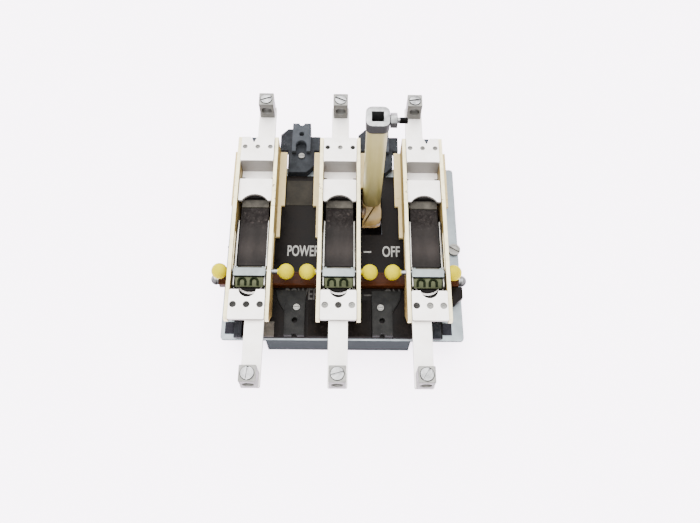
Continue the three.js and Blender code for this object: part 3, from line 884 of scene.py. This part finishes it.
class BLADESWITCH_OT_springs(Maker):
    """Makes the olive leaf behind each yoke, its hairpin springs and the rounded nose under them"""
    bl_idname = "bladeswitch.springs"
    bl_label = "Clamp Springs"

    LEAF_TOP, LEAF_LENGTH, LEAF_DROP = mm(54.4, 8.8, 2.4)
    LEAF_HALF, LEAF_BOW, LEAF_THICK = mm(12.2, 0.4, 0.7)
    SHIFTS = {"left": -6.0 * MM, "right": 4.4 * MM}     # each hairpin's place across the leaf
    BENDS = 14

    def make(self, sizes):
        for pole in POLES:
            low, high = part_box(f"blade_yoke_{pole}")
            x = (low.x + high.x) / 2
            self.leaf(f"clamp_leaf_{pole}", x, low.y)
            for name, shift in self.SHIFTS.items():
                self.hairpin(f"hairpin_spring_{pole}_{name}", x + shift, low.y, sizes)
            self.nose(pole, x)

    def height(self, back):
        """The leaf's height at a distance behind the yoke."""
        share = max(0.0, min(1.0, back / self.LEAF_LENGTH))
        return self.LEAF_TOP - self.LEAF_DROP * share ** 1.6

    def leaf(self, name, x, far):
        """A bowed plate that falls away towards the load side."""
        deselect()
        bpy.ops.mesh.primitive_grid_add(x_subdivisions=24, y_subdivisions=16, size=1, location=(0, 0, 0))
        leaf = named(bpy.context.object, name)
        for vertex in leaf.data.vertices:
            u, v = vertex.co.x * 2, 0.5 - vertex.co.y
            bow = self.LEAF_BOW * cos(u * pi / 2)
            back = v * self.LEAF_LENGTH
            vertex.co = (x + u * self.LEAF_HALF, far - back, self.height(back) + bow)
        modified(leaf, "SOLIDIFY", thickness=self.LEAF_THICK)
        round_edges(outward(leaf), 0.15 * MM, 2, 60)
        dress(leaf, "olive_steel", "bright_steel", "blade_carriage")

    def hairpin(self, name, x, yoke, sizes):
        """A round wire bent into an upright U that lies on the leaf."""
        radius, wire = sizes.spring_radius, sizes.spring_wire
        far = yoke - wire - 0.6 * MM
        near = yoke - self.LEAF_LENGTH + wire
        turns = [pi * n / self.BENDS for n in range(self.BENDS + 1)]
        path = [(x - radius, near)]
        path += [(x - radius * cos(turn), far - radius + radius * sin(turn)) for turn in turns]
        path += [(x + radius, near)]
        deselect()
        bpy.ops.mesh.primitive_circle_add(vertices=len(path), radius=1)
        wire_line = named(bpy.context.object, name)
        for vertex, (px, py) in zip(wire_line.data.vertices, path):
            vertex.co = (px, py, self.height(yoke - py) + wire + 0.3 * MM)
        edit_faces(wire_line, lambda f: False)
        bpy.context.tool_settings.mesh_select_mode = (False, True, False)
        leave_edit()
        for edge in wire_line.data.edges:
            edge.select = abs(edge.vertices[0] - edge.vertices[1]) > 1
        bpy.ops.object.mode_set(mode="EDIT")
        bpy.ops.mesh.delete(type="EDGE")
        leave_edit()
        only(wire_line)
        bpy.ops.object.convert(target="CURVE")
        wire_line.data.bevel_depth = wire
        wire_line.data.bevel_resolution = 3
        wire_line.data.use_fill_caps = True
        bpy.ops.object.convert(target="MESH")
        piece = smooth(outward(named(bpy.context.object, name)), 50)
        dress(piece, "spring", "bright_steel", "blade_carriage")

    # Each disc's name, middle along Y, radius, bottom and top in millimetres, finish and slot.
    DISCS = (
        ("tongue_nose", -38.2, 12.5, 46.4, 49.9, "lining", "brown_phenolic"),
        ("tongue_lip", -40.4, 12.0, 45.2, 46.2, "tin", "tin_plate"),
    )
    DISC_FLAT = -43 * MM
    LINING_HALF, LINING_NEAR, LINING_FAR, LINING_BOTTOM, LINING_TOP = mm(11.8, -61, -30, 44.35, 44.95)

    def nose(self, pole, x):
        """The tongue's rounded dark nose with a bright lip beyond it, over a dark lining."""
        for name, y, radius, bottom, top, finish, slot in self.DISCS:
            disc = rod(f"{name}_{pole}", radius * MM, (top - bottom) * MM, (x, y * MM, (top + bottom) / 2 * MM))
            sliced(disc, (0, self.DISC_FLAT, 0), (0, 1, 0))
            round_edges(disc, 0.4 * MM)
            dress(disc, finish, slot, "base")
        lining = cube(f"tongue_lining_{pole}", (x - self.LINING_HALF, self.LINING_NEAR, self.LINING_BOTTOM),
                      (x + self.LINING_HALF, self.LINING_FAR, self.LINING_TOP))
        round_edges(lining, 0.15 * MM)
        dress(lining, "lining", "brown_phenolic", "base")


class BLADESWITCH_OT_capped_pins(Maker):
    """Makes the cross pins and their yellow ball caps"""
    bl_idname = "bladeswitch.capped_pins"
    bl_label = "Capped Pins"

    def make(self, sizes):
        for pole in POLES:
            node = f"blade_pin_{pole}"
            low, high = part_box(node)
            radius = (high.z - low.z) / 2
            centre = (low + high) / 2
            pin = rod(f"cross_pin_{pole}", 2 * MM, (high.x - low.x) - 3.2 * radius, centre, "X", 32)
            edit_faces(pin, lambda f: abs(f.normal.x) > 0.9)
            bpy.ops.mesh.inset(thickness=0.4 * MM)
            leave_edit()
            round_edges(pin, 0.2 * MM)
            dress(pin, "steel", "bright_steel", "blade_carriage", node)
            for name, side in SIDES.items():
                x = high.x - radius if side > 0 else low.x + radius
                back = middle(f"line_terminal_{pole}").x + side * PLATE_FACE
                cap = self.cap(f"yellow_cap_{pole}_{name}", Vector((x, centre.y, centre.z)), radius, side, back)
                dress(cap, "yellow", "yellow_cap", "blade_carriage")

    def cap(self, name, centre, radius, side, back):
        """A ball with a neck and a gate mark, or a flat back where it comes up to the side plate."""
        cap = ball(name, radius, centre)
        if abs(centre.x - back) < radius:
            sliced(cap, (back, 0, 0), (-side, 0, 0))
        else:
            recess(cap, lambda f: f.normal.x * side < -0.93, 0.15 * MM, mm(-side * 0.9, 0, 0))
        recess(cap, lambda f: f.normal.x * side > 0.985, 0.2 * MM, mm(-side * 0.25, 0, 0))
        return smooth(cap, 45)


class BLADESWITCH_OT_crossbar(Maker):
    """Makes the crossbar, its domed ends and the shoe at its right end"""
    bl_idname = "bladeswitch.crossbar"
    bl_label = "Crossbar"

    NEAR, FAR, BOTTOM, TOP = mm(-40.2, -27.8, 31.3, 38.8)
    REACH, DOME = mm(105, 5.1)

    def make(self, sizes):
        low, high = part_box("crossbar")
        low = Vector((low.x, self.NEAR, self.BOTTOM))
        high = Vector((high.x, self.FAR, self.TOP))
        bar = cube("tie_bar", (-self.REACH, low.y, low.z), (self.REACH, high.y, high.z))
        recess(bar, faces_up, 1.4 * MM, mm(0, 0, -0.4))
        round_edges(bar, 0.9 * MM, 3)
        dress(bar, "red", "red_phenolic", "blade_carriage", "crossbar")
        centre = (low + high) / 2
        for name, side in SIDES.items():
            x = side * (high.x - self.DOME)
            washer = rod(f"bar_washer_{name}", 4.6 * MM, 2.1 * MM, (x - side * 1.2 * MM, centre.y, centre.z), "X")
            round_edges(washer, 0.3 * MM)
            dress(washer, "steel", "bright_steel", "blade_carriage")
            head = ball(f"bar_screw_{name}", self.DOME, (x, centre.y, centre.z), 32, 20)
            smooth(sliced(head, (x, 0, 0), (-side, 0, 0)))
            dress(head, "steel", "bright_steel", "blade_carriage")
        refined("slide_shoe", "guide_shoe", 0.6 * MM, "black", "black_board", "blade_carriage", 3)


class BLADESWITCH_OT_studs(Maker):
    """Makes the slotted studs on the base's side strips"""
    bl_idname = "bladeswitch.studs"
    bl_label = "Side Studs"

    SHEET, TOP, SLOT_DEPTH = mm(27.1, 29.7, 2)
    STUDS = {"right": mm(104.8, 0.2, 5.6), "left": mm(-98.3, 0.5, 3.1)}     # each one's x, y and radius
    SLOT_TURN = radians(-32)

    def make(self, sizes):
        for name, (x, y, radius) in self.STUDS.items():
            stud = rod(f"slotted_stud_{name}", radius, self.TOP - self.SHEET, (x, y, (self.TOP + self.SHEET) / 2))
            recess(stud, faces_up, radius * 0.3, mm(0, 0, -0.5))
            slot = cube("slot", mm(-8, -0.7, 0), mm(8, 0.7, 6))
            slot.rotation_euler = (0, 0, self.SLOT_TURN)
            slot.location = (x, y, self.TOP - self.SLOT_DEPTH)
            cut(stud, settle(slot))
            round_edges(stud, 0.3 * MM)
            dress(stud, "lug", "bright_steel", "base")


class BLADESWITCH_OT_handle(Maker):
    """Makes the handle's tube, foot, collar and clamp screw"""
    bl_idname = "bladeswitch.handle"
    bl_label = "Handle"

    LENGTH, ROOT, CREST = mm(6.2, 2.25, 2.75)       # of the clamp screw's thread
    RIDGES = 7

    def make(self, sizes):
        refined("handle_post", "handle_tube", 0.5 * MM, "tube", "cream_tube", "handle", 3)
        refined("handle_yoke", "handle_foot", 0.7 * MM, "foot", "cream_tube", "handle", 3)
        refined("handle_collar", "socket_collar", 0.8 * MM, "steel", "bright_steel", "handle", 3)
        refined("handle_clamp_screw", "clamp_screw", 0.4 * MM, "steel", "bright_steel", "clamp_screw", 3)
        self.thread(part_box("handle_clamp_screw")[1].x)

    def thread(self, tip):
        """The dark ridged end of the clamp screw."""
        centre = middle("handle_clamp_screw")
        start = tip - self.LENGTH
        pitch = (tip - start) / self.RIDGES
        rings = []
        for n in range(self.RIDGES):
            x = start + (n + 0.5) * pitch
            for way, shift in ((1, -pitch / 4), (-1, pitch / 4)):
                near, far = (self.ROOT, self.CREST) if way > 0 else (self.CREST, self.ROOT)
                rings.append(rod("ring", near, pitch / 2, (x + shift, centre.y, centre.z), "X", 24, far))
        thread = smooth(outward(joined("clamp_thread", rings)), 30)
        dress(thread, "socket", "bright_steel", "clamp_screw")


class BLADESWITCH_OT_legends(Maker):
    """Makes the printed off and on legends and the blank name label"""
    bl_idname = "bladeswitch.legends"
    bl_label = "Legends and Label"

    CLEAR = 0.02 * MM           # between a label and the face under it
    SHEET_TOP = 27.05 * MM
    # The on row is printed in a dark grey ink.
    ROWS = (("off", "OFF", -3.7 * MM, "ink"), ("on", "ON", -46 * MM, "faded"))
    # Each plate's outline in millimetres, what it lies on, its thickness, finish and rim.
    PLATES = {
        "name_label": ((-50.4, 44, -25.7, 70.8), "cover", 0.5, "olive", 1.2),
        "centre_panel": ((-27.2, -85.2, 28.6, -51), "cover", 0.8, "black", 1.0),
        "grey_panel": ((-64, -85.2, -55.2, -72), "cover", 2.2, "barrier", 0.8),
        "corner_label_left": ((-97.8, -81.8, -90.2, -71.2), "sheet", 1.4, "slate", 0.8),
        "corner_label_right": ((90.2, -81.6, 98.2, -71), "sheet", 1.4, "slate", 0.8),
        "corner_block_left": ((-89.2, -86.8, -83, -72), "cover", 3.2, "moulding", 0.7),
        "corner_block_right": ((81.4, -86.8, 88.2, -72), "cover", 3.2, "moulding", 0.7),
    }

    def make(self, sizes):
        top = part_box("legend_cover")[1].z
        for row, word, y, ink in self.ROWS:
            left, right = Vector((-32.6 * MM, y, top)), Vector((47 * MM, y, top))
            self.words(f"legend_{row}_left", "POWER", left, sizes.legend_height, 0.57, ink)
            self.words(f"legend_{row}_right", word, right, sizes.legend_height, 0.62, ink)
            dash = cube(f"legend_{row}_dash", (22 * MM, y - 0.8 * MM, top + self.CLEAR),
                        (29 * MM, y + 0.8 * MM, top + 0.16 * MM))
            round_edges(dash, 0.04 * MM)
            dress(dash, ink, "tin_plate", "base")
        for name, (outline, under, *look) in self.PLATES.items():
            self.plate(name, outline, top if under == "cover" else self.SHEET_TOP, *look)

    def plate(self, name, outline, bottom, thick, finish, rim):
        """A small plate with a shallow field inside its rim."""
        x0, y0, x1, y1 = mm(*outline)
        plate = cube(name, (x0, y0, bottom + self.CLEAR), (x1, y1, bottom + thick * MM))
        recess(plate, faces_up, rim * MM, mm(0, 0, -0.2))
        round_edges(plate, 0.12 * MM)
        dress(plate, finish, "black_board", "base")

    def words(self, name, body, place, height, squeeze, ink):
        """A printed word standing just proud of the cover."""
        deselect()
        bpy.ops.object.text_add(location=(0, 0, 0))
        text = bpy.context.object
        text.data.body = body
        text.data.size = height * 1.38
        text.data.align_x = "CENTER"
        text.data.align_y = "CENTER"
        text.data.extrude = 0.08 * MM
        text.data.offset = 0.25 * MM
        text.data.resolution_u = 4
        only(text)
        bpy.ops.object.convert(target="MESH")
        piece = named(bpy.context.object, name)
        piece.scale = (squeeze, 1, 1)
        piece.location = place + Vector((0, 0, 0.1 * MM))
        settle(piece)
        outward(piece)
        dress(piece, ink, "tin_plate", "base")


class BLADESWITCH_OT_stage(bpy.types.Operator):
    """Makes the floor, the lights and the camera"""
    bl_idname = "bladeswitch.stage"
    bl_label = "Stage"

    def execute(self, context):
        stage = context.scene.blade_stage
        self.floor(stage)
        self.world(context.scene, stage)
        self.light(stage)
        self.camera(context.scene, stage)
        return {"FINISHED"}

    def floor(self, stage):
        deselect()
        bpy.ops.mesh.primitive_plane_add(size=6, location=(0, 0, 0))
        floor = named(bpy.context.object, "floor")
        settle(floor)
        s = Surface("floor_paper", roughness=0.8)
        s.colour(s.ramp(s.noise(3, 2), (0.3, tint(stage.floor_colour, 0.985)),
                        (0.7, tuple(stage.floor_colour))))
        s.shader.inputs["Emission Color"].default_value = (*stage.floor_colour, 1)
        s.shader.inputs["Emission Strength"].default_value = stage.floor_glow
        floor.data.materials.append(s.material)

    def world(self, scene, stage):
        world = bpy.data.worlds.new("soft_studio")
        scene.world = world
        world.use_nodes = True
        background = world.node_tree.nodes["Background"]
        background.inputs["Color"].default_value = (1.0, 0.985, 1.0, 1)
        background.inputs["Strength"].default_value = stage.sky

    def light(self, stage):
        """One very wide light overhead, a little from the back left."""
        lamp = bpy.data.lights.new("overhead", "SUN")
        lamp.energy = stage.key
        lamp.angle = stage.spread
        holder = bpy.data.objects.new("overhead", lamp)
        holder.rotation_euler = (radians(-10), radians(-8), 0)
        bpy.context.scene.collection.objects.link(holder)

    def camera(self, scene, stage):
        camera = bpy.data.cameras.new("camera")
        camera.lens = stage.lens
        camera.sensor_width = 36
        holder = bpy.data.objects.new("camera", camera)
        turn = Matrix.Rotation(stage.yaw, 4, "Z") @ Matrix.Rotation(stage.tilt, 4, "X")
        holder.matrix_world = Matrix.Translation(Vector(stage.place)) @ turn @ Matrix.Rotation(stage.roll, 4, "Z")
        scene.collection.objects.link(holder)
        scene.camera = holder


class BLADESWITCH_PT_sidebar(bpy.types.Panel):
    """Lists the making steps in order"""
    bl_idname = "BLADESWITCH_PT_sidebar"
    bl_label = "Blade Switch"
    bl_space_type = "VIEW_3D"
    bl_region_type = "UI"
    bl_category = "Blade Switch"

    def draw(self, context):
        column = self.layout.column()
        for step in STEPS:
            column.operator(step.bl_idname)
        for group in (context.scene.blade_switch, context.scene.blade_stage):
            for key in group.__annotations__:
                column.prop(group, key)


STEPS = (
    BLADESWITCH_OT_finishes,
    BLADESWITCH_OT_base,
    BLADESWITCH_OT_side_plates,
    BLADESWITCH_OT_terminals,
    BLADESWITCH_OT_terminal_screws,
    BLADESWITCH_OT_lugs,
    BLADESWITCH_OT_arc_blocks,
    BLADESWITCH_OT_brackets,
    BLADESWITCH_OT_blades,
    BLADESWITCH_OT_springs,
    BLADESWITCH_OT_capped_pins,
    BLADESWITCH_OT_crossbar,
    BLADESWITCH_OT_studs,
    BLADESWITCH_OT_handle,
    BLADESWITCH_OT_legends,
    BLADESWITCH_OT_stage,
)
CLASSES = (BLADESWITCH_PG_pieces, BLADESWITCH_PG_stage, *STEPS, BLADESWITCH_PT_sidebar)


def register():
    for each in CLASSES:
        bpy.utils.register_class(each)
    bpy.types.Scene.blade_switch = PointerProperty(type=BLADESWITCH_PG_pieces)
    bpy.types.Scene.blade_stage = PointerProperty(type=BLADESWITCH_PG_stage)


def unregister():
    del bpy.types.Scene.blade_stage
    del bpy.types.Scene.blade_switch
    for each in reversed(CLASSES):
        bpy.utils.unregister_class(each)


def main():
    """Registers the add-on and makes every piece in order."""
    register()
    for step in STEPS:
        group, _, name = step.bl_idname.partition(".")
        getattr(getattr(bpy.ops, group), name)()
    deselect()


if __name__ == "__main__":
    main()
